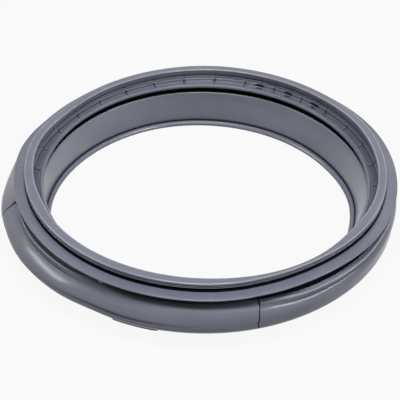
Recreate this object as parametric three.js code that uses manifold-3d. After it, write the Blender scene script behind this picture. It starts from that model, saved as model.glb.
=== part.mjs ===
// The door seal of a front loading washing machine: one ring of moulded rubber.
// Millimetres, +Z up. It lies on the flat underside of its bellows, with the
// grooved mounting ring on top. Heights are measured from the face it lies on.

import * as THREE from 'three';
import { mergeVertices } from 'three/addons/utils/BufferGeometryUtils.js';
import Module from 'manifold-3d';

// Widths, from the hole outwards
const holeRadius = 148.6;     // clear radius inside the lip's rolled edge
const lipBeadRadius = 2.6;    // rolled edge at the bottom of the throat
const lipStep = 4.6;          // how far the rolled edge stands inside the throat wall
const throatFlare = 5.8;      // how far the throat opens from its foot to its top edge
const wall = 3;               // wall of the throat, the bellows and the channel
const foldGap = 5.2;          // from the back of the throat's top edge out to the collar's inner face
const collarWidth = 7.6;      // upstanding collar above the mounting groove
const grooveDepth = 3.8;      // mounting groove under the collar, open outwards all round
const flangeWidth = 11;       // flat flange out past the collar
const ridgeReach = 1.2;       // how far the bellows' upper ridge stands out past the flange
const bulgeReach = 6.8;       // how far the bellows' widest line stands out past the flange
const neckWidth = 4.6;        // thickness of the neck under the collar
const recessReach = 2.2;      // how far the collar's foot lies back from its inner face
const channelWidth = 5.8;     // floor of the water channel
const guardWidth = 4.4;       // thin lip along the channel's inner edge
const baseWidth = 16;         // flat ring that the seal lies on

// Heights
const footHeight = 13;        // free height under the bellows
const bulgeHeight = 24;       // height of the bellows' widest line
const valleyRise = 15;        // from the widest line to the valley under the upper ridge
const ridgeRise = 22;         // from the widest line to the top of the upper ridge
const roofFall = 2.5;         // fall of the bellows' roof from the ridge to the neck
const mouthHeight = 5.6;      // free height between the throat's top edge and the channel's underside
const slotHeight = 6.6;       // free height between the roof and the flange's root
const flangeRootThickness = 4.5;
const flangeThickness = 2;    // at the edge
const grooveHeight = 3.3;     // free height of the mounting groove above the flange face
const collarRise = 9.4;       // flat top of the collar above the flange face
const recessDrop = 1.9;       // collar's foot below the flange face
const ledgeDrop = 5;          // ledge below the flange face
const ledgeFall = 0.6;        // fall of the ledge towards the hole
const channelDrop = 7.5;      // channel's outer corner below the flange face
const channelFall = 1.2;      // fall of the channel's floor towards the hole
const guardRise = 1.8;        // thin lip above the channel's floor

// The soft ring lies with its top pushed a little to one side and its bellows to the other.
const topPush = 4.35;
const bulgePush = -3;

// Moulded details
const slitCount = 32;         // narrow slits across the channel
const slitPhase = 8.65;       // azimuth of the first slit, degrees
const slitWidth = 1.2;
const slitDepth = 1.3;
const nickDepth = 1.2;        // nick in the collar's foot above each slit
const drainCount = 3;         // drain slots, each midway between two slits
const firstDrain = 3;         // the slit before the first drain slot
const drainLength = 7;
const drainWidth = 2.2;
const shoulder = 1.6;         // round shoulders of the collar's top
const ribCount = 3;           // fine ribs round the collar's outer face
const ribHeight = 0.7;
const ribLand = 0.35;         // upright stretch at the top of each rib
const fillet = 2;             // inside corners at the neck and the foot
const edgeRound = 1.2;        // small outside edges
const cutMargin = 2;          // how far a cutter runs past the skin it opens

const facets = 2 * slitCount;
const slitPitch = 360 / slitCount;

// Radii worked out from the widths above
const throatFoot = holeRadius + lipStep;
const throatTop = throatFoot + throatFlare;
const collarInner = throatTop + wall + foldGap;
const collarOuter = collarInner + collarWidth;
const collarFoot = collarInner + recessReach;
const neckOuter = collarInner + neckWidth;
const grooveRoot = collarOuter - grooveDepth;
const flangeOuter = collarOuter + flangeWidth;
const ridgeOuter = flangeOuter + ridgeReach;
const bulgeOuter = flangeOuter + bulgeReach;
const channelInner = collarInner - channelWidth;
const guardInner = channelInner - guardWidth;
const footOuter = holeRadius + lipBeadRadius + baseWidth;

// Heights worked out from the heights above
const ridgeHeight = bulgeHeight + ridgeRise;
const roofHeight = ridgeHeight - roofFall;
const flangeRoot = roofHeight + slotHeight;
const flangeTop = flangeRoot + flangeRootThickness;
const grooveTop = flangeTop + grooveHeight;
const collarTop = flangeTop + collarRise;
const recessHeight = flangeTop - recessDrop;
const ledgeHeight = flangeTop - ledgeDrop;
const channelOuterFloor = flangeTop - channelDrop;
const channelInnerFloor = channelOuterFloor - channelFall;
const guardTop = channelInnerFloor + guardRise;
const channelUnder = channelInnerFloor - wall;
const throatHeight = channelUnder - mouthHeight;
const ribPitch = (collarTop - shoulder - grooveTop) / ribCount;

const radians = (degrees) => degrees * Math.PI / 180;
const point = (radius, height) => new THREE.Vector2(radius, height);

// Points along an arc. Angles are in degrees, from outwards, anticlockwise.
function arc(radius, height, halfWidth, halfHeight, start, end, steps) {
  const points = [];
  for (let step = 0; step <= steps; step += 1) {
    const angle = radians(start + (end - start) * step / steps);
    points.push(point(radius + halfWidth * Math.cos(angle), height + halfHeight * Math.sin(angle)));
  }
  return points;
}

// The throat opens upwards like a bell. Its skins lie inset from its inner face.
function throatRadius(height) {
  const share = height / throatHeight;
  return throatFoot + throatFlare * share * share;
}

function throatSkin(inset, fromHeight, toHeight, steps) {
  const points = [];
  for (let step = 0; step <= steps; step += 1) {
    const height = fromHeight + (toHeight - fromHeight) * step / steps;
    points.push(point(throatRadius(height) + inset, height));
  }
  return points;
}

// The bellows from the foot out to its widest line, in to a shallow valley and
// out to its upper ridge. The inner skin is the same line drawn in by an inset.
function bellowsSkin(inset, steps) {
  const start = neckOuter + fillet;
  const reach = bulgeOuter - start - inset;
  const valley = bulgeOuter - ridgeOuter + edgeRound;
  const points = arc(start, bulgeHeight, reach, bulgeHeight - footHeight - inset, -90, 0, steps);
  for (let step = 1; step <= steps; step += 1) {
    const share = step / steps;
    const swing = (1 - Math.cos(Math.PI * share)) / 2;
    points.push(point(bulgeOuter - inset - valley * swing, bulgeHeight + valleyRise * share));
  }
  return points;
}

// Underside, foot, bellows and roof, from the hole outwards and in to the neck
function outerSkin() {
  return [
    point(holeRadius + lipBeadRadius, 0),
    point(footOuter - edgeRound, 0),
    point(footOuter, edgeRound),
    ...arc(footOuter + fillet, footHeight - fillet, fillet, fillet, 180, 90, 1),
    ...bellowsSkin(0, 4),
    ...arc(ridgeOuter - fillet, ridgeHeight - fillet, fillet, fillet, 0, 90, 2),
    ...arc(neckOuter + fillet, roofHeight + fillet, fillet, fillet, -90, -180, 1),
  ];
}

// Flange with its thin edge, then the mounting groove between it and the collar
function flangeSkin() {
  const edge = flangeThickness / 2;
  return [
    ...arc(neckOuter + fillet, flangeRoot - fillet, fillet, fillet, 180, 90, 1),
    ...arc(flangeOuter - edge, flangeTop - edge, edge, edge, -90, 90, 2),
    point(grooveRoot, flangeTop),
    point(grooveRoot, grooveTop),
  ];
}

// Fine ribs climb the collar's outer face, then its flat top lies between two round shoulders
function collarSkin() {
  const points = [];
  for (let rib = 0; rib < ribCount; rib += 1) {
    const height = grooveTop + ribPitch * rib;
    points.push(point(collarOuter - ribHeight, height));
    points.push(point(collarOuter, height + ribPitch - ribLand));
  }
  const height = collarTop - shoulder;
  return [
    ...points,
    ...arc(collarOuter - shoulder, height, shoulder, shoulder, 0, 90, 2),
    ...arc(collarInner + shoulder, height, shoulder, shoulder, 90, 180, 3),
    point(collarFoot, recessHeight),
  ];
}

// Wall under the collar, ledge, water channel and its thin lip
function channelSkin() {
  return [
    point(collarFoot - ledgeFall, ledgeHeight),
    point(collarInner, ledgeHeight - ledgeFall),
    point(collarInner, channelOuterFloor),
    point(channelInner, channelInnerFloor),
    point(channelInner - edgeRound, guardTop),
    point(guardInner + edgeRound, guardTop),
    point(guardInner, channelInnerFloor),
    point(guardInner + edgeRound, channelUnder),
  ];
}

// Inside of the bellows, from under the channel down to the floor of the fold
function foldSkin() {
  return [
    point(collarInner, channelUnder),
    point(neckOuter, roofHeight - wall),
    point(ridgeOuter - wall - fillet, ridgeHeight - wall),
    ...bellowsSkin(wall, 2).reverse(),
    point(footOuter - wall, footHeight),
    point(footOuter - wall, wall + fillet),
    point(footOuter - wall - fillet, wall),
  ];
}

// Back of the throat, its rounded top edge, the throat itself and the rolled lip
function throatWall() {
  const edge = wall / 2;
  const edgeHeight = throatHeight - edge;
  const foot = 2 * lipBeadRadius;
  return [
    ...throatSkin(wall, wall, edgeHeight, 4),
    ...arc(throatRadius(edgeHeight) + edge, edgeHeight, edge, edge, 45, 135, 2),
    ...throatSkin(0, edgeHeight, foot, 4),
    ...arc(holeRadius + lipBeadRadius, lipBeadRadius, lipBeadRadius, lipBeadRadius, 60, 250, 4),
  ];
}

// Turns a mesh into a solid that can be cut, and back into a mesh
const wasm = await Module();
wasm.setup();

function toSolid(geometry) {
  const bare = geometry.clone();
  bare.deleteAttribute('normal');
  bare.deleteAttribute('uv');
  const merged = mergeVertices(bare);
  return new wasm.Manifold(new wasm.Mesh({
    numProp: 3,
    vertProperties: Float32Array.from(merged.attributes.position.array),
    triVerts: Uint32Array.from(merged.index.array),
  }));
}

function toGeometry(solid) {
  const mesh = solid.getMesh();
  const geometry = new THREE.BufferGeometry();
  geometry.setAttribute('position', new THREE.BufferAttribute(Float32Array.from(mesh.vertProperties), 3));
  geometry.setIndex(new THREE.BufferAttribute(Uint32Array.from(mesh.triVerts), 1));
  geometry.computeVertexNormals();
  return geometry;
}

// Sideways push of a point. The throat leans evenly up to the top ring, and the
// bellows swings out at its widest line before it follows the top ring.
function pushAt(radius, height) {
  if (radius < throatTop + wall + edgeRound) {
    return topPush * Math.min(height / channelUnder, 1);
  }
  const swing = bulgePush * THREE.MathUtils.smoothstep(height, footHeight, bulgeHeight);
  const follow = THREE.MathUtils.smoothstep(height, bulgeHeight, channelUnder);
  return swing + (topPush - swing) * follow;
}

// The section turned about the upright axis, with the slits in the middle of its facets
function ring() {
  const outside = [...outerSkin(), ...flangeSkin(), ...collarSkin()];
  const inside = [...channelSkin(), ...foldSkin(), ...throatWall()];
  const section = [...outside, ...inside];
  section.push(section[0].clone());
  const start = radians(90 + slitPhase - 180 / facets);
  const geometry = new THREE.LatheGeometry(section, facets, start);
  geometry.rotateX(Math.PI / 2);
  const position = geometry.attributes.position;
  for (let index = 0; index < position.count; index += 1) {
    const [x, y, height] = [position.getX(index), position.getY(index), position.getZ(index)];
    position.setX(index, x + pushAt(Math.hypot(x, y), height));
  }
  return geometry;
}

// A block across the section of the top ring, at an azimuth in degrees
function cutter(innerRadius, outerRadius, width, low, high, azimuth) {
  const block = new THREE.BoxGeometry(outerRadius - innerRadius, width, high - low);
  block.translate((innerRadius + outerRadius) / 2, 0, (low + high) / 2);
  block.rotateZ(radians(azimuth));
  block.translate(topPush, 0, 0);
  return block;
}

function slitAndNick(index) {
  const azimuth = slitPhase + index * slitPitch;
  const slit = cutter(
    channelInner, collarInner + slitDepth, slitWidth,
    channelInnerFloor - slitDepth, ledgeHeight + slitDepth, azimuth,
  );
  const nick = cutter(
    collarInner, collarFoot + nickDepth, slitWidth,
    recessHeight - nickDepth, recessHeight + nickDepth, azimuth,
  );
  return [slit, nick];
}

// A slot through the floor of the channel, for the water to run off
function drain(index) {
  const azimuth = slitPhase + (firstDrain + index + 0.5) * slitPitch;
  const outer = collarInner - edgeRound;
  return cutter(outer - drainWidth, outer, drainLength, channelUnder - cutMargin, ledgeHeight, azimuth);
}

function doorSeal() {
  let solid = toSolid(ring());
  const cuts = [];
  for (let index = 0; index < slitCount; index += 1) {
    cuts.push(...slitAndNick(index));
  }
  for (let index = 0; index < drainCount; index += 1) {
    cuts.push(drain(index));
  }
  for (const cut of cuts) {
    solid = solid.subtract(toSolid(cut));
  }
  const geometry = toGeometry(solid);
  geometry.computeBoundingBox();
  const middle = geometry.boundingBox.getCenter(new THREE.Vector3());
  geometry.translate(-middle.x, -middle.y, 0);
  const rubber = new THREE.MeshStandardMaterial({ color: 0x6d6e79, roughness: 0.5, metalness: 0 });
  const mesh = new THREE.Mesh(geometry, rubber);
  mesh.name = 'door_seal';
  return mesh;
}

const seal = new THREE.Group();
seal.add(doorSeal());

export default seal;
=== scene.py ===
# A washing machine door seal: one moulded rubber ring, modelled in fine detail
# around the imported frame. Sizes in the section are millimetres, as in the part.

import math
from types import SimpleNamespace

import bpy
from mathutils import Matrix, Vector


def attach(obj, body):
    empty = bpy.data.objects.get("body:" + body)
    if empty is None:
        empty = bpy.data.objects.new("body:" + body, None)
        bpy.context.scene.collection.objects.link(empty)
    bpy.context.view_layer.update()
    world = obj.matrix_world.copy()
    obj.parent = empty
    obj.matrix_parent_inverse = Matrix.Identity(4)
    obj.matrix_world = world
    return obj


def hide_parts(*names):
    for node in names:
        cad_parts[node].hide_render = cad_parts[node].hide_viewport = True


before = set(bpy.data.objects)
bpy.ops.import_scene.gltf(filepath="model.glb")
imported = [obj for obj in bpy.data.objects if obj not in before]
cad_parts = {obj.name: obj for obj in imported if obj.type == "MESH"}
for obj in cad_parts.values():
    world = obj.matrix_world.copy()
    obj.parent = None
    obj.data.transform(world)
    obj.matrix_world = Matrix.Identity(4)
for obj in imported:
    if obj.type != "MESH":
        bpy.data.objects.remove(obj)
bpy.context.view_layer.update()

MM = 0.001

# Sizes of the ring's section
HOLE_RADIUS = 148.6
LIP_BEAD = 2.6
LIP_STEP = 4.6
THROAT_FLARE = 5.8
WALL = 3.0
FOLD_GAP = 5.2
COLLAR_WIDTH = 7.6
GROOVE_DEPTH = 3.8
FLANGE_WIDTH = 11.0
RIDGE_REACH = 1.2
BULGE_REACH = 6.8
NECK_WIDTH = 4.6
RECESS_REACH = 2.2
CHANNEL_WIDTH = 5.8
GUARD_WIDTH = 4.4
BASE_WIDTH = 16.0
FOOT_HEIGHT = 13.0
BULGE_HEIGHT = 24.0
VALLEY_RISE = 15.0
RIDGE_RISE = 22.0
ROOF_FALL = 2.5
SLOT_HEIGHT = 6.6
FLANGE_ROOT_THICKNESS = 4.5
FLANGE_THICKNESS = 2.0
GROOVE_HEIGHT = 3.3
COLLAR_RISE = 9.4
RECESS_DROP = 1.9
LEDGE_DROP = 5.0
LEDGE_FALL = 0.6
CHANNEL_DROP = 7.5
CHANNEL_FALL = 1.2
GUARD_RISE = 1.8
MOUTH_HEIGHT = 5.6
SHOULDER = 1.6
RIB_COUNT = 3
RIB_HEIGHT = 0.7
RIB_LAND = 0.35

# Sideways pushes of the soft ring, and the middle of its foot in the frame
TOP_PUSH = 4.35
BULGE_PUSH = -3.0
CENTRE_X = 2.12

# Azimuths in degrees, anticlockwise from +X
LINE_PITCH = 1.2
SLIT_COUNT = 32
SLIT_PHASE = 8.65
SLIT_PITCH = 360.0 / SLIT_COUNT
SLIT_HALF = 0.2
SLITS = [SLIT_PHASE + k * SLIT_PITCH for k in range(SLIT_COUNT)]
DRAINS = [SLIT_PHASE + (3.5 + k) * SLIT_PITCH for k in range(3)]
DRAIN_HALF = 1.2
LEFT_SEAM = 192.2
RIGHT_SEAM = 287.5
SEAM_HALF = 0.15
NUB = 240.5
NUB_HALF = 0.9
PARTING_MIDDLE = 247
PARTING_SPREAD = 30
# The foot fold, a bulge of the foot painted near black, stands in for the shadow under the
# bellows
FOOT_FOLD = 251.5
FOOT_FOLD_HALF = (6, 13)

# Depths of the cuts and heights of the small forms
SLIT_DEPTH = 1.6
SLIT_CLEAR = 1.2
NICK_REACH = 1.2
NICK_DROP = 0.6
DRAIN_REACH = 0.9
SEAM_DEPTH = 0.5
SEAM_DROP = 0.25
PARTING_DEPTH = 0.9
NUB_DROP = 3.2
FOOT_FOLD_REACH = 11.2
FOOT_FOLD_DROP = 5.0
FINE_LINE = 0.22

# Radii and heights that follow
THROAT_FOOT = HOLE_RADIUS + LIP_STEP
THROAT_TOP = THROAT_FOOT + THROAT_FLARE
COLLAR_IN = THROAT_TOP + WALL + FOLD_GAP
COLLAR_OUT = COLLAR_IN + COLLAR_WIDTH
COLLAR_FOOT = COLLAR_IN + RECESS_REACH
NECK_OUT = COLLAR_IN + NECK_WIDTH
GROOVE_ROOT = COLLAR_OUT - GROOVE_DEPTH
FLANGE_OUT = COLLAR_OUT + FLANGE_WIDTH
RIDGE_OUT = FLANGE_OUT + RIDGE_REACH
BULGE_OUT = FLANGE_OUT + BULGE_REACH
CHANNEL_IN = COLLAR_IN - CHANNEL_WIDTH
GUARD_IN = CHANNEL_IN - GUARD_WIDTH
FOOT_OUT = HOLE_RADIUS + LIP_BEAD + BASE_WIDTH
DRAIN_OUT = COLLAR_IN - 1.2
DRAIN_IN = DRAIN_OUT - 2.2

RIDGE_TOP = BULGE_HEIGHT + RIDGE_RISE
ROOF = RIDGE_TOP - ROOF_FALL
FLANGE_ROOT = ROOF + SLOT_HEIGHT
FLANGE_TOP = FLANGE_ROOT + FLANGE_ROOT_THICKNESS
GROOVE_TOP = FLANGE_TOP + GROOVE_HEIGHT
COLLAR_TOP = FLANGE_TOP + COLLAR_RISE
RECESS = FLANGE_TOP - RECESS_DROP
LEDGE = FLANGE_TOP - LEDGE_DROP
FLOOR_OUT = FLANGE_TOP - CHANNEL_DROP
FLOOR_IN = FLOOR_OUT - CHANNEL_FALL
GUARD_TOP = FLOOR_IN + GUARD_RISE
CHANNEL_UNDER = FLOOR_IN - WALL
THROAT_HEIGHT = CHANNEL_UNDER - MOUTH_HEIGHT
THROAT_EDGE = THROAT_HEIGHT - WALL / 2
RIB_PITCH = (COLLAR_TOP - SHOULDER - GROOVE_TOP) / RIB_COUNT

# The bellows: an arc under the widest line, then a dome or a valley and ridge
BELLY_CENTRE = NECK_OUT + 2.0
BELLY_REACH = BULGE_OUT - BELLY_CENTRE
BELLY_DROP = BULGE_HEIGHT - FOOT_HEIGHT
BELLY_STEPS = 10
DOME_RISE = RIDGE_TOP - BULGE_HEIGHT - 1.0
DOME_TURN = 58
VALLEY_TURN = 76
VALLEY_REACH = 11.6
VALLEY_STEPS = 13
PARTING_STEP = 2
RIDGE_EDGE = 0.8
RIDGE_STEPS = 5
ROOF_STEEPER = 1.1
ROOF_SLOPE = ROOF_FALL / (RIDGE_OUT - NECK_OUT) * ROOF_STEEPER
ROOF_INSET = 4.4
# Along the roof: millimetres in from the ridge, and upwards where it is crisp
ROOF_LINE = ((3.0, -0.2), (5.0, 0.0), (5.5, 0.6), (6.0, 0.6), (6.3, -0.3))
ROOF_SEEN = 6.2

# How the soft ring lies out of round: azimuth, spread and millimetres inwards
BELLOWS_DENTS = ((172, 20, 3.0), (198, 14, 1.0), (245, 45, 1.4), (240, 13, 1.6))
UPPER_DENTS = ((130, 45, 2.6), (150, 24, 2.0))
COLLAR_DENTS = ((303, 34, 3.3),)
THROAT_DENTS = ((142, 45, 2.0), (12, 22, -0.8), (341, 28, 2.3), (201, 16, 2.6))
COLLAR_LEAN = 1.2
COLLAR_LEANS = ((235, 50, 0.5), (200, 22, 1.8), (325, 20, 1.6), (297, 30, -1.6))
BACK_DROP = 2.6
BACK_BEGINS = (18, 50)
BACK_ENDS = (145, 172)
ROOF_RAISE = 5.0
SLOT_OPENS = (196, 212)
SLOT_CLOSES = (322, 338)

# How crisp the bellows' ridge is: at the back, and how it grows and fades
RIDGE_LEFT = 0.55
RIDGE_LEFT_FULL = 204
RIDGE_FADES = (222, 247)
RIDGE_RIGHT = 0.2
RIDGE_RIGHT_FULL = 302
RIDGE_RIGHT_FADES = (330, 358)
RIDGE_BACK_LOSS = 0.45
RIDGE_BACK = (150, 176)

# How strongly painted shade darkens each place, from 0 to 1
CHANNEL_DARK = 0.55
NICK_DARK = 0.3
PARTING_DARK = 0.8
RIDGE_DARK = 0.6
ROOF_DARK = 0.95

# Colours of the rubber, linear, then the colours of the painted highlight and the painted shade
RUBBER_DEEP = (0.098, 0.103, 0.134, 1)
RUBBER_LIGHT = (0.122, 0.128, 0.164, 1)
# painted highlight: the pale colour mixed into edges that catch the light and into the throat's
# lit sides
PAINTED_HIGHLIGHT = (0.34, 0.36, 0.42, 1)
# painted shade: the near black mixed into gaps, folds, grooves and recesses
SHADE = (0.004, 0.005, 0.01, 1)

# Surface of the rubber; the relief's height is in metres
ROUGHNESS = 0.15
RELIEF_STRENGTH = 0.1
RELIEF_HEIGHT = 0.0004

# Floor and surroundings
WHITE = (1, 1, 1, 1)
FLOOR_GREY = (0.28, 0.28, 0.28, 1)
FLOOR_HALF = 6.0
FLOOR_WHITE_SHARE = 0.92
WORLD_STRENGTH = 0.12

# Lamps: name, place and aim in metres, width, height and watts
LAMPS = (
    ("top", (0.0, -0.3, 1.6), (0, 0, 0), 0.8, 0.6, 28),
    ("front", (0.0, -1.15, 1.4), (0, 0, 0.03), 1.4, 0.14, 2.5),
    ("left", (-1.4, -0.02, 0.85), (0, 0, 0.03), 0.8, 0.22, 5.5),
    ("right", (1.3, -0.5, 1.08), (0, 0, 0.03), 1.5, 0.16, 16),
)

# The photograph's camera: degrees, metres, and pixels of a 400 pixel picture
CAMERA_ELEVATION = 39.27
CAMERA_ROLL = -1.24
CAMERA_DISTANCE = 1.4126
CAMERA_ORIGIN = (0.0048, 0.0, 0.00206)
PICTURE_PIXELS = 400
FOCAL_PIXELS = 1420.1
SHIFT_PIXELS = (3.0, 12.3)
SENSOR_MM = 36


def smooth(value, low, high):
    """0 below low, 1 above high, and a smooth step between."""
    share = min(max((value - low) / (high - low), 0.0), 1.0)
    return share * share * (3 - 2 * share)


def angle_from(azimuth, other):
    """Degrees from one azimuth to another, from -180 to 180."""
    return (azimuth - other + 180) % 360 - 180


def nearest(azimuth, others):
    """Degrees to the nearest of several azimuths."""
    return min(abs(angle_from(azimuth, other)) for other in others)


def bump(azimuth, centre, spread):
    """1 at the centre, falling smoothly to 0 at the spread on both sides."""
    return 1 - smooth(abs(angle_from(azimuth, centre)), 0, spread)


def dents(azimuth, places):
    """Millimetres inwards at an azimuth, from (azimuth, spread, depth) places."""
    return sum(depth * bump(azimuth, centre, spread) for centre, spread, depth in places)


def round_corner(before, at, after, radius, steps):
    """Points of the arc that rounds one corner of the section."""
    a, p, b = Vector(before), Vector(at), Vector(after)
    u, v = (a - p).normalized(), (b - p).normalized()
    half = math.acos(max(-1.0, min(1.0, u.dot(v)))) / 2
    reach = radius / math.tan(half)
    reach = min(reach, 0.49 * (a - p).length, 0.49 * (b - p).length)
    start, end = p + u * reach, p + v * reach
    centre = p + (u + v).normalized() * (reach / math.cos(half))
    turn = math.pi - 2 * half
    points = []
    for step in range(steps + 1):
        t = step / steps
        k0 = math.sin((1 - t) * turn) / math.sin(turn)
        k1 = math.sin(t * turn) / math.sin(turn)
        spot = centre + (start - centre) * k0 + (end - centre) * k1
        points.append((spot.x, spot.y))
    return points


class Outline:
    """The closed outline of the section, as corners that may be rounded."""

    def __init__(self):
        self.corners = []

    def corner(self, radius, height, rounding=0.0, steps=2, label=""):
        self.corners.append((radius, height, rounding, steps, label))

    def spot(self, radius, height, label=""):
        self.corner(radius, height, label=label)

    def points(self):
        """Points (radius, height, label), with the same count at every azimuth."""
        points = []
        for index, (radius, height, rounding, steps, label) in enumerate(self.corners):
            if not rounding:
                points.append((radius, height, label))
                continue
            before = self.corners[index - 1][:2]
            after = self.corners[(index + 1) % len(self.corners)][:2]
            for spot in round_corner(before, (radius, height), after, rounding, steps):
                points.append((*spot, label))
        return points


def throat_radius(height):
    """Radius of the throat's face, which flares upwards."""
    share = height / THROAT_HEIGHT
    return THROAT_FOOT + THROAT_FLARE * share * share


def dome_point(degrees):
    """A point of the plain bellows above the widest line."""
    angle = math.radians(degrees)
    return (
        BELLY_CENTRE + BELLY_REACH * math.cos(angle),
        BULGE_HEIGHT + DOME_RISE * math.sin(angle),
    )


def blend(plain, crisp, ridge):
    """Between a point of the plain bellows and the same point of the ridged one."""
    return (
        plain[0] + (crisp[0] - plain[0]) * ridge,
        plain[1] + (crisp[1] - plain[1]) * ridge,
    )


def draw_foot(outline):
    """The flat underside and the foot's outer corners."""
    outline.spot(HOLE_RADIUS + LIP_BEAD + 1.5, 0)
    outline.corner(FOOT_OUT, 0, 1.2, 3)
    outline.corner(FOOT_OUT, FOOT_HEIGHT, 2.0, 3, "foot")


def draw_bellows(outline, ridge, parting):
    """The belly, with its parting line, and above it the dome or valley and ridge."""
    # out to the widest line, where the mould's two halves met
    for step in range(1, BELLY_STEPS):
        angle = math.radians(-90 + 90 * step / BELLY_STEPS)
        radius = BELLY_CENTRE + BELLY_REACH * math.cos(angle)
        outline.spot(radius, BULGE_HEIGHT + BELLY_DROP * math.sin(angle), "outer")
    outline.spot(BULGE_OUT, BULGE_HEIGHT, "outer")
    # in to the valley and out to the ridge; plain bellows have neither
    for step in range(1, VALLEY_STEPS):
        share = step / VALLEY_STEPS
        turn = math.radians(VALLEY_TURN * share)
        crisp = (
            BULGE_OUT - VALLEY_REACH * (1 - math.cos(turn)),
            BULGE_HEIGHT + VALLEY_RISE * math.sin(turn),
        )
        radius, height = blend(dome_point(DOME_TURN * share), crisp, ridge)
        if step == PARTING_STEP:
            outline.spot(radius - PARTING_DEPTH * parting, height, "part")
        else:
            outline.spot(radius, height, "outer")
    for step in range(RIDGE_STEPS + 1):
        angle = math.radians(-10 + 100 * step / RIDGE_STEPS)
        crisp = (
            RIDGE_OUT - RIDGE_EDGE + RIDGE_EDGE * math.cos(angle),
            RIDGE_TOP - RIDGE_EDGE + RIDGE_EDGE * math.sin(angle),
        )
        plain = dome_point(61 + 17 * step / RIDGE_STEPS)
        outline.spot(*blend(plain, crisp, ridge), "ridge")


def draw_roof(outline, ridge):
    """The bellows' roof with a fine line along it, and the slot under the flange."""
    inset = ROOF_INSET * (1 - ridge)
    for back, lift in ROOF_LINE:
        radius = RIDGE_OUT - max(back, 5.4 * (1 - ridge)) - inset
        height = RIDGE_TOP - ROOF_SLOPE * (back + inset) + lift * ridge
        outline.spot(radius, height, "roof" if back < ROOF_SEEN else "dark")
    back = 7.0 + inset
    outline.spot(RIDGE_OUT - back, RIDGE_TOP - ROOF_SLOPE * back - 0.1, "dark")
    outline.corner(NECK_OUT, ROOF, 1.8, 3, "dark")
    outline.corner(NECK_OUT, FLANGE_ROOT, 1.8, 3, "dark")


def draw_flange(outline):
    """The flange's edge, fine lines round its face, and the groove, open outwards."""
    outline.corner(FLANGE_OUT - 0.5, FLANGE_TOP - FLANGE_THICKNESS, 0.6, 3, "nub")
    outline.corner(FLANGE_OUT, FLANGE_TOP - 0.9, 0.7)
    outline.corner(FLANGE_OUT - 0.7, FLANGE_TOP, 0.7)
    for radius in (FLANGE_OUT - 2.2, COLLAR_OUT + 6.4):
        outline.spot(radius + 0.3, FLANGE_TOP)
        outline.spot(radius, FLANGE_TOP - FINE_LINE)
        outline.spot(radius - 0.35, FLANGE_TOP)
    outline.spot(COLLAR_OUT + 0.5, FLANGE_TOP)
    outline.spot(COLLAR_OUT + 0.1, FLANGE_TOP, "dark")
    outline.corner(GROOVE_ROOT, FLANGE_TOP, 0.4, 2, "dark")
    outline.corner(GROOVE_ROOT, GROOVE_TOP, 0.4, 2, "dark")


def draw_collar(outline):
    """Ribs on the outer face, and a flat top between two shoulders."""
    for rib in range(RIB_COUNT):
        low = GROOVE_TOP + RIB_PITCH * rib
        outline.corner(COLLAR_OUT - RIB_HEIGHT, low, 0.12, 2, "dark")
        outline.corner(COLLAR_OUT, low + RIB_PITCH - RIB_LAND, 0.22, 2, "rib")
    outline.corner(COLLAR_OUT, COLLAR_TOP - 0.3, 1.0, 4, "collar")
    outline.spot(COLLAR_OUT - 1.8, COLLAR_TOP)
    outline.spot(COLLAR_IN + 2.4, COLLAR_TOP)
    outline.corner(COLLAR_IN + 0.3, COLLAR_TOP, SHOULDER, 5, "collar")


def draw_channel(outline):
    """The collar's foot, two ledges, the water channel and its guard."""
    outline.corner(COLLAR_FOOT - 0.9, RECESS + 1.1, 0.25)
    outline.corner(COLLAR_FOOT + 0.9, RECESS + 0.7, 0.2, 2, "dark")
    outline.corner(COLLAR_FOOT + 0.9, RECESS - 0.1, 0.2, 2, "dark")
    outline.corner(COLLAR_FOOT - 0.6, RECESS - 0.25, 0.25, 2, "nick")
    outline.corner(COLLAR_FOOT - LEDGE_FALL, LEDGE, 0.3)
    outline.corner(COLLAR_IN, LEDGE - LEDGE_FALL, 0.25, 2, "wall")
    outline.corner(COLLAR_IN, FLOOR_OUT, 0.4, 2, "wall")
    # the lines where slits and drains begin and end
    for radius in (DRAIN_OUT, DRAIN_IN, CHANNEL_IN + 0.9, CHANNEL_IN + 0.5):
        share = (COLLAR_IN - radius) / CHANNEL_WIDTH
        label = "floor" if radius > CHANNEL_IN + 0.6 else ""
        outline.spot(radius, FLOOR_OUT - CHANNEL_FALL * share, label)
    outline.corner(CHANNEL_IN, FLOOR_IN, 0.3)
    outline.corner(CHANNEL_IN - 1.2, GUARD_TOP, 0.6, 3)
    outline.corner(GUARD_IN + 0.9, GUARD_TOP, 0.8, 3)
    outline.corner(GUARD_IN, FLOOR_IN, 0.8, 3)
    outline.corner(GUARD_IN + 1.2, CHANNEL_UNDER, 0.8, 2, "dark")
    outline.spot(CHANNEL_IN, CHANNEL_UNDER, "dark")
    outline.spot(DRAIN_IN, CHANNEL_UNDER, "under")
    outline.spot(DRAIN_OUT, CHANNEL_UNDER, "under")


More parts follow.
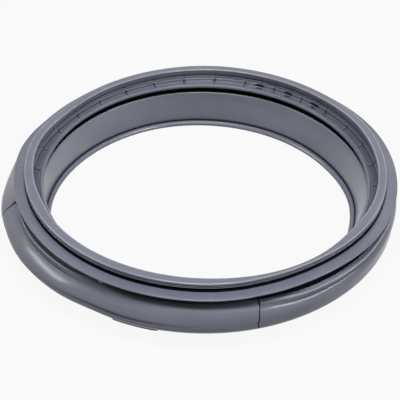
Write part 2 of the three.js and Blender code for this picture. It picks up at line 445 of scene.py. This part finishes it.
def draw_fold(outline):
    """The inside of the fold, a wall's thickness within the bellows and the foot."""
    outline.corner(COLLAR_IN, CHANNEL_UNDER, 0.8, 2, "dark")
    outline.corner(NECK_OUT, ROOF - WALL, 1.0, 2, "dark")
    outline.corner(RIDGE_OUT - WALL - 1.0, RIDGE_TOP - WALL, 1.2, 2, "dark")
    steps = 5
    valley = BULGE_OUT - RIDGE_OUT + 3.2
    for step in range(steps):
        share = 1 - step / steps
        swing = (1 - math.cos(math.pi * share)) / 2
        radius = BULGE_OUT - WALL - valley * swing
        outline.spot(radius, BULGE_HEIGHT + VALLEY_RISE * share, "dark")
    for step in range(steps):
        angle = math.radians(-90 * step / steps)
        radius = BELLY_CENTRE + (BELLY_REACH - WALL) * math.cos(angle)
        height = BULGE_HEIGHT + (BELLY_DROP - WALL) * math.sin(angle)
        outline.spot(radius, height, "dark")
    outline.corner(FOOT_OUT - WALL, FOOT_HEIGHT, 2.0, 2, "dark")
    outline.corner(FOOT_OUT - WALL, WALL, 2.0, 2, "dark")
    outline.corner(THROAT_FOOT + WALL, WALL, 1.2, 2, "dark")


def draw_throat(outline):
    """Back, top edge and face of the throat, and the rolled lip with its fine line."""
    steps = 5
    for step in range(1, steps):
        height = WALL + (THROAT_EDGE - WALL) * step / steps
        outline.spot(throat_radius(height) + WALL, height, "dark")
    half = WALL / 2
    top = throat_radius(THROAT_EDGE) + half
    steps = 8
    for step in range(steps + 1):
        angle = math.radians(10 + 160 * step / steps)
        radius, height = top + half * math.cos(angle), THROAT_EDGE + half * math.sin(angle)
        outline.spot(radius, height, "throat")
    steps = 12
    foot = 2 * LIP_BEAD
    for step in range(1, steps):
        height = THROAT_EDGE - (THROAT_EDGE - foot - 0.6) * step / steps
        outline.spot(throat_radius(height), height, "throat")
    outline.corner(throat_radius(foot) + 0.3, foot - 0.3, 0.35, 2, "crease")
    fine_line = 142
    for degrees in range(78, 271, 16):
        angle = math.radians(degrees)
        bead = LIP_BEAD - (0.35 if degrees == fine_line else 0.0)
        radius = HOLE_RADIUS + LIP_BEAD + bead * math.cos(angle)
        outline.spot(radius, LIP_BEAD + bead * math.sin(angle))


def section(ridge, parting):
    """The closed outline, anticlockwise from the lip's underside, as points
    (radius, height, label). ridge runs from 0, plain bellows, to 1, crisp."""
    outline = Outline()
    draw_foot(outline)
    draw_bellows(outline, ridge, parting)
    draw_roof(outline, ridge)
    draw_flange(outline)
    draw_collar(outline)
    draw_channel(outline)
    draw_fold(outline)
    draw_throat(outline)
    return outline.points()


def ridge_share(azimuth):
    """How crisp the bellows' upper ridge is at an azimuth."""
    if azimuth < LEFT_SEAM:
        return RIDGE_LEFT - RIDGE_BACK_LOSS * smooth(azimuth, *RIDGE_BACK)
    if azimuth < RIDGE_FADES[0]:
        return RIDGE_LEFT + (1 - RIDGE_LEFT) * smooth(azimuth, LEFT_SEAM, RIDGE_LEFT_FULL)
    if azimuth < RIGHT_SEAM:
        return 1.0 - smooth(azimuth, *RIDGE_FADES)
    grown = RIDGE_RIGHT + (1 - RIDGE_RIGHT) * smooth(azimuth, RIGHT_SEAM, RIDGE_RIGHT_FULL)
    return grown - RIDGE_BACK_LOSS * smooth(azimuth, *RIDGE_RIGHT_FADES)


def azimuths():
    """Where the section is set out: evenly, with extra lines at slits, drains,
    seams and the nub."""
    even = [round(k * LINE_PITCH, 3) for k in range(round(360 / LINE_PITCH))]
    beyond = SLIT_HALF + 0.12
    places = [(middle, (-beyond, -SLIT_HALF, SLIT_HALF, beyond)) for middle in SLITS]
    places += [(middle, (-DRAIN_HALF, DRAIN_HALF)) for middle in DRAINS]
    places += [
        (middle, (-0.5, -0.26, -0.09, 0.09, 0.26, 0.5)) for middle in (LEFT_SEAM, RIGHT_SEAM)
    ]
    places.append((NUB, (-NUB_HALF, -0.5, 0.0, 0.5, NUB_HALF)))
    special = {round((middle + step) % 360, 3) for middle, steps in places for step in steps}
    kept = [line for line in even if all(abs(line - other) > 0.3 for other in special)]
    return sorted(kept + list(special))


def seam_shift(azimuth, height):
    """Degrees by which the moulding seams wander as they run down the bellows."""
    left = 3.2 * smooth(height, 38, 50) + 0.25 * math.sin(height / 3.0)
    right = 0.15 * math.sin(height / 2.2) - 1.8 * smooth(height, 18, 44)
    shift = left * (1 - smooth(abs(angle_from(azimuth, LEFT_SEAM)), 0.5, 9.0))
    shift += right * (1 - smooth(abs(angle_from(azimuth, RIGHT_SEAM)), 0.5, 5.0))
    return shift


def push_at(radius, height):
    """The sideways push of a point, as the solid has it."""
    if radius < THROAT_TOP + WALL + 1.2:
        return TOP_PUSH * min(height / CHANNEL_UNDER, 1.0)
    swing = BULGE_PUSH * smooth(height, FOOT_HEIGHT, BULGE_HEIGHT)
    return swing + (TOP_PUSH - swing) * smooth(height, BULGE_HEIGHT, CHANNEL_UNDER)


def closing(azimuth):
    """1 where the bellows' roof lies up against the flange, 0 where the slot is open."""
    if azimuth < 180:
        return 1.0
    return 1 - smooth(azimuth, *SLOT_OPENS) + smooth(azimuth, *SLOT_CLOSES)


def bellows_shape(azimuth, height):
    """The bellows: drawn in at the left, its roof raised where the slot is closed."""
    inwards = dents(azimuth, BELLOWS_DENTS) * smooth(height, 8, 18)
    return -inwards, ROOF_RAISE * closing(azimuth) * smooth(height, 34, 45)


def upper_shape(azimuth, radius, height):
    """Collar, flange and channel: dented, lower at the back, and leaning inwards."""
    inwards = dents(azimuth, UPPER_DENTS) * smooth(radius, CHANNEL_IN, COLLAR_FOOT)
    inwards += dents(azimuth, COLLAR_DENTS) * smooth(radius, COLLAR_IN, COLLAR_OUT - 2)
    if height > RECESS + 1.5 and radius < COLLAR_OUT - 3.5:
        lean = COLLAR_LEAN + dents(azimuth, COLLAR_LEANS)
        lean *= smooth(height, RECESS + 1.5, COLLAR_TOP - 3)
        inwards += lean * (1 - smooth(radius, COLLAR_IN + 2, COLLAR_OUT - 3.5))
    back = smooth(azimuth, *BACK_BEGINS) - smooth(azimuth, *BACK_ENDS)
    lowered = max(
        smooth(radius, GROOVE_ROOT - 2, COLLAR_OUT),
        smooth(height, RECESS + 1.2, RECESS + 6),
    )
    return -inwards, -BACK_DROP * back * lowered


def soft_shape(azimuth, radius, height):
    """How the soft ring lies out of round: millimetres outwards and upwards."""
    if radius > NECK_OUT and height < FLANGE_ROOT - 0.5:
        return bellows_shape(azimuth, height)
    if radius > CHANNEL_IN and height > CHANNEL_UNDER - 0.5:
        return upper_shape(azimuth, radius, height)
    if radius < CHANNEL_IN and height < CHANNEL_UNDER:
        return -dents(azimuth, THROAT_DENTS) * (1 - 0.5 * smooth(height, 10, 36)), 0.0
    return 0.0, 0.0


def features(azimuth):
    """How much of each local feature an azimuth has, from 0 to 1."""
    return SimpleNamespace(
        ridge=ridge_share(azimuth),
        parting=bump(azimuth, PARTING_MIDDLE, PARTING_SPREAD),
        slit=float(nearest(azimuth, SLITS) < SLIT_HALF + 0.01),
        drain=float(nearest(azimuth, DRAINS) < DRAIN_HALF + 0.01),
        seam=float(nearest(azimuth, (LEFT_SEAM, RIGHT_SEAM)) < SEAM_HALF),
        nub=max(0.0, 1 - nearest(azimuth, (NUB,)) / NUB_HALF),
        fold=1 - smooth(nearest(azimuth, (FOOT_FOLD,)), *FOOT_FOLD_HALF),
        side=abs(math.cos(math.radians(azimuth))),
    )


def carve(radius, height, label, here):
    """A point of the section with the local features cut in, and how much painted shade it gets.
    """
    # painted shade: the amount set below darkens the base colour towards near black in the slits,
    # drains, nicks, seam and parting grooves, the channel's sides, the plain ridge and roof under
    # the flange, and the foot fold
    slit_dark = here.slit * (0.25 + 0.75 * here.side)
    dark = 0.0
    if label == "floor":
        height -= SLIT_DEPTH * here.slit
        dark = max(slit_dark, CHANNEL_DARK * here.side)
    elif label == "wall":
        radius += SLIT_DEPTH * here.slit + DRAIN_REACH * here.drain
        if height < LEDGE - SLIT_CLEAR:
            height -= SLIT_DEPTH * here.slit
        dark = max(slit_dark, here.drain, CHANNEL_DARK * here.side)
    elif label == "nick":
        radius += NICK_REACH * here.slit
        height -= NICK_DROP * here.slit
        dark = max(slit_dark, NICK_DARK * here.side)
    elif label in ("outer", "part", "ridge"):
        faint = {"part": PARTING_DARK * here.parting, "ridge": RIDGE_DARK * (1 - here.ridge)}
        radius -= SEAM_DEPTH * here.seam
        height -= SEAM_DROP * here.seam * smooth(height, 40, 46)
        dark = max(here.seam, faint.get(label, 0.0))
    elif label == "roof":
        dark = ROOF_DARK * (1 - here.ridge)
    elif label == "nub":
        height -= NUB_DROP * here.nub
    # painted shade: the foot fold is painted fully dark, a dark bulge standing in for the shadow
    # under the bellows there
    elif label == "foot":
        radius += FOOT_FOLD_REACH * here.fold
        height -= FOOT_FOLD_DROP * here.fold
        dark = here.fold
    # painted shade: points inside the fold, in the groove, under the flange, under the drains and
    # in the lip's crease are painted near black
    elif label in ("dark", "under", "crease"):
        dark = 1.0
    return radius, height, dark


def painted_highlight_at(label, here):
    """How much painted highlight a place gets, from 0 to 1: edges of the ribs, collar, nicks,
    ridge and roof line that catch the light, and the throat's lit sides.
    """
    return {
        "rib": 1.0, "collar": 1.0, "nick": 1.0,
        "ridge": here.ridge, "roof": 0.5 * here.ridge,
        "throat": 0.9 * here.side * here.side,
    }.get(label, 0.0)


def place(azimuth, radius, height):
    """A point of the section in the frame, in metres, as the soft ring lies."""
    turn = math.radians(azimuth + (seam_shift(azimuth, height) if height > 10 else 0.0))
    outwards, upwards = soft_shape(azimuth, radius, height)
    push = push_at(radius, height) + CENTRE_X
    radius += outwards
    return (
        (radius * math.cos(turn) + push) * MM,
        radius * math.sin(turn) * MM,
        (height + upwards) * MM,
    )


def ring_faces(lines, labels):
    """Quads between neighbouring sections, with the drains cut through the floor."""
    count = len(labels)
    floor_line, under_line = labels.index("floor"), labels.index("under")
    holes = [
        [lines.index(round(middle + side * DRAIN_HALF, 3)) for side in (-1, 1)]
        for middle in DRAINS
    ]
    skipped = {row for first, last in holes for row in range(first, last)}
    faces = []
    for row in range(len(lines)):
        near, far = row * count, (row + 1) % len(lines) * count
        for index in range(count):
            if row in skipped and index in (floor_line, under_line):
                continue
            ahead = (index + 1) % count
            faces.append((near + index, far + index, far + ahead, near + ahead))
    for first, last in holes:
        for row in range(first, last):
            a, b = row * count, (row + 1) * count
            faces.append((a + floor_line, b + floor_line, b + under_line + 1, a + under_line + 1))
            faces.append((b + floor_line + 1, a + floor_line + 1, a + under_line, b + under_line))
        for row, flip in ((first, False), (last, True)):
            a = row * count
            quad = (a + floor_line + 1, a + floor_line, a + under_line + 1, a + under_line)
            faces.append(quad[::-1] if flip else quad)
    return faces


def build_seal():
    """The ring as one closed mesh, with painted highlight and painted shade stored on its points.
    """
    lines = azimuths()
    verts, painted_highlight, depth = [], [], []
    for azimuth in lines:
        here = features(azimuth)
        points = section(here.ridge, here.parting)
        for radius, height, label in points:
            radius, height, dark = carve(radius, height, label, here)
            verts.append(place(azimuth, radius, height))
            painted_highlight.append(painted_highlight_at(label, here))
            depth.append(dark)
    mesh = bpy.data.meshes.new("rubber_seal")
    mesh.from_pydata(verts, [], ring_faces(lines, [label for *_, label in points]))
    mesh.polygons.foreach_set("use_smooth", [True] * len(mesh.polygons))
    for name, values in (("painted_highlight", painted_highlight), ("depth", depth)):
        attribute = mesh.attributes.new(name, "FLOAT", "POINT")
        attribute.data.foreach_set("value", values)
    mesh.update()
    piece = bpy.data.objects.new("rubber_seal", mesh)
    bpy.context.collection.objects.link(piece)
    weighted = piece.modifiers.new("weighted", "WEIGHTED_NORMAL")
    weighted.mode = "FACE_AREA"
    weighted.weight = 60
    return piece


def rubber_material():
    """Satin blue grey rubber: fine grain, faint lines round the ring, painted highlights on its
    edges and painted shade in its gaps.
    """
    material = bpy.data.materials.new("moulded_rubber")
    material.use_nodes = True
    nodes, links = material.node_tree.nodes, material.node_tree.links
    shader = nodes["Principled BSDF"]
    shader.inputs["Metallic"].default_value = 0.0

    def node(kind, **settings):
        made = nodes.new(kind)
        for name, value in settings.items():
            setattr(made, name, value)
        return made

    def math_node(operation, a, b=None):
        made = node("ShaderNodeMath", operation=operation)
        for socket, value in ((0, a), (1, b)):
            if value is None:
                continue
            if isinstance(value, (int, float)):
                made.inputs[socket].default_value = value
            else:
                links.new(value, made.inputs[socket])
        return made.outputs[0]

    def noise(vector, scale, detail, roughness=0.5):
        made = node("ShaderNodeTexNoise")
        made.inputs["Scale"].default_value = scale
        made.inputs["Detail"].default_value = detail
        made.inputs["Roughness"].default_value = roughness
        links.new(vector, made.inputs["Vector"])
        return made.outputs["Fac"]

    def mix(share, first, second):
        made = node("ShaderNodeMixRGB")
        links.new(share, made.inputs["Fac"])
        links.new(first, made.inputs["Color1"])
        made.inputs["Color2"].default_value = second
        return made.outputs[0]

    # noise drawn out round the ring, and plain noise
    spot = node("ShaderNodeTexCoord").outputs["Object"]
    split = node("ShaderNodeSeparateXYZ")
    links.new(spot, split.inputs[0])
    x, y, z = split.outputs
    square = math_node("ADD", math_node("MULTIPLY", x, x), math_node("MULTIPLY", y, y))
    rings = node("ShaderNodeCombineXYZ")
    links.new(math_node("SQRT", square), rings.inputs[0])
    links.new(math_node("MULTIPLY", math_node("ARCTAN2", y, x), 0.012), rings.inputs[1])
    links.new(z, rings.inputs[2])
    streaks = noise(rings.outputs[0], 900, 3, 0.6)
    bands = noise(rings.outputs[0], 140, 2)
    grain = noise(spot, 2600, 2, 0.6)
    cloud = noise(spot, 22, 3)

    # colour: clouded rubber, painted highlights on the edges, painted shade in the gaps
    ramp = node("ShaderNodeValToRGB")
    ramp.color_ramp.elements[0].position = 0.3
    ramp.color_ramp.elements[0].color = RUBBER_DEEP
    ramp.color_ramp.elements[1].position = 0.7
    ramp.color_ramp.elements[1].color = RUBBER_LIGHT
    mixed = math_node("ADD", math_node("MULTIPLY", cloud, 0.6), math_node("MULTIPLY", bands, 0.4))
    links.new(mixed, ramp.inputs[0])
    # painted highlight: pale colour on edges that catch the light and on the throat's lit sides
    painted_highlight_mask = node("ShaderNodeAttribute", attribute_name="painted_highlight").outputs["Fac"]
    patch = math_node("ADD", 0.12, math_node("MULTIPLY", cloud, 0.4))
    pale = mix(math_node("MULTIPLY", painted_highlight_mask, patch), ramp.outputs[0], PAINTED_HIGHLIGHT)
    # painted shade: near black in gaps, folds, grooves and recesses
    painted_shade_mask = node("ShaderNodeAttribute", attribute_name="depth").outputs["Fac"]
    dark = mix(math_node("MULTIPLY", painted_shade_mask, 0.95), pale, SHADE)
    links.new(dark, shader.inputs["Base Color"])
    # painted shade also lowers the reflection and raises the roughness where it lies
    sheen = math_node("SUBTRACT", 0.5, math_node("MULTIPLY", painted_shade_mask, 0.5))
    links.new(sheen, shader.inputs["Specular IOR Level"])

    rough = ROUGHNESS
    for pattern, share in ((bands, 0.1), (grain, 0.06), (painted_shade_mask, 0.4)):
        rough = math_node("ADD", rough, math_node("MULTIPLY", pattern, share))
    links.new(rough, shader.inputs["Roughness"])

    relief = math_node("MULTIPLY", streaks, 0.5)
    for pattern, share in ((grain, 0.5), (bands, 1.2)):
        relief = math_node("ADD", relief, math_node("MULTIPLY", pattern, share))
    bump_node = node("ShaderNodeBump")
    bump_node.inputs["Strength"].default_value = RELIEF_STRENGTH
    bump_node.inputs["Distance"].default_value = RELIEF_HEIGHT
    links.new(relief, bump_node.inputs["Height"])
    links.new(bump_node.outputs[0], shader.inputs["Normal"])
    return material


def seen_ray(nodes, links):
    """1 for what the camera sees, straight or in a reflection."""
    path = nodes.new("ShaderNodeLightPath")
    seen = path.outputs["Is Camera Ray"]
    for ray in ("Is Glossy Ray", "Is Transmission Ray"):
        either = nodes.new("ShaderNodeMath")
        either.operation = "MAXIMUM"
        links.new(seen, either.inputs[0])
        links.new(path.outputs[ray], either.inputs[1])
        seen = either.outputs[0]
    return seen


def floor_material():
    """White floor: lit by the lamps and kept pale for the camera, with the shadow left in."""
    material = bpy.data.materials.new("white_floor")
    material.use_nodes = True
    nodes, links = material.node_tree.nodes, material.node_tree.links
    nodes.clear()
    out = nodes.new("ShaderNodeOutputMaterial")
    matt = nodes.new("ShaderNodeBsdfDiffuse")
    matt.inputs["Color"].default_value = FLOOR_GREY
    glow = nodes.new("ShaderNodeEmission")
    glow.inputs["Strength"].default_value = 1.0
    share = nodes.new("ShaderNodeMath")
    share.operation = "MULTIPLY"
    share.inputs[1].default_value = FLOOR_WHITE_SHARE
    links.new(seen_ray(nodes, links), share.inputs[0])
    blended = nodes.new("ShaderNodeMixShader")
    links.new(share.outputs[0], blended.inputs["Fac"])
    links.new(matt.outputs[0], blended.inputs[1])
    links.new(glow.outputs[0], blended.inputs[2])
    links.new(blended.outputs[0], out.inputs["Surface"])
    return material


def build_floor():
    """A plain square floor under the ring."""
    half = FLOOR_HALF
    mesh = bpy.data.meshes.new("floor")
    mesh.from_pydata(
        [(-half, -half, 0), (half, -half, 0), (half, half, 0), (-half, half, 0)],
        [], [(0, 1, 2, 3)],
    )
    floor = bpy.data.objects.new("floor", mesh)
    bpy.context.collection.objects.link(floor)
    floor.data.materials.append(floor_material())


def build_world():
    """Faint light from all sides, with a white background for the camera."""
    world = bpy.data.worlds.new("studio")
    bpy.context.scene.world = world
    world.use_nodes = True
    nodes, links = world.node_tree.nodes, world.node_tree.links
    nodes.clear()
    out = nodes.new("ShaderNodeOutputWorld")
    blended = nodes.new("ShaderNodeMixShader")
    links.new(seen_ray(nodes, links), blended.inputs["Fac"])
    for socket, strength in ((1, WORLD_STRENGTH), (2, 1.0)):
        light = nodes.new("ShaderNodeBackground")
        light.inputs["Color"].default_value = WHITE
        light.inputs["Strength"].default_value = strength
        links.new(light.outputs[0], blended.inputs[socket])
    links.new(blended.outputs[0], out.inputs["Surface"])


def softbox(name, spot, target, width, height, watts):
    """A rectangular lamp that faces its target."""
    light = bpy.data.lights.new(name, "AREA")
    light.shape = "RECTANGLE"
    light.size = width
    light.size_y = height
    light.energy = watts
    lamp = bpy.data.objects.new(name, light)
    lamp.location = spot
    aim = Vector(target) - Vector(spot)
    lamp.rotation_euler = aim.to_track_quat("-Z", "Y").to_euler()
    bpy.context.collection.objects.link(lamp)


def build_camera():
    """The photograph's view: a long lens, 39 degrees above the floor, rolled a little."""
    elevation, roll = math.radians(CAMERA_ELEVATION), math.radians(CAMERA_ROLL)
    back = Vector((0, -math.cos(elevation), math.sin(elevation)))
    location = Vector(CAMERA_ORIGIN) + CAMERA_DISTANCE * back
    level_up = Vector((0, math.sin(elevation), math.cos(elevation)))
    right = Vector((1, 0, 0)) * math.cos(roll) - level_up * math.sin(roll)
    up = Vector((1, 0, 0)) * math.sin(roll) + level_up * math.cos(roll)
    across, along = (pixels / FOCAL_PIXELS for pixels in SHIFT_PIXELS)
    forward = (-back - right * across + up * along).normalized()
    right = (right - forward * right.dot(forward)).normalized()
    up = right.cross(forward)
    data = bpy.data.cameras.new("camera")
    data.sensor_width = SENSOR_MM
    data.lens = FOCAL_PIXELS / PICTURE_PIXELS * SENSOR_MM
    data.clip_start = 0.01
    data.clip_end = 50
    camera = bpy.data.objects.new("camera", data)
    turn = Matrix((right, up, -forward)).transposed().to_4x4()
    camera.matrix_world = Matrix.Translation(location) @ turn
    bpy.context.collection.objects.link(camera)
    bpy.context.scene.camera = camera


build_camera()
build_world()
build_floor()
for lamp in LAMPS:
    softbox(*lamp)

seal = build_seal()
seal.data.materials.append(rubber_material())
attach(seal, "root")
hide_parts("door_seal")

bpy.context.scene.view_settings.view_transform = "Standard"
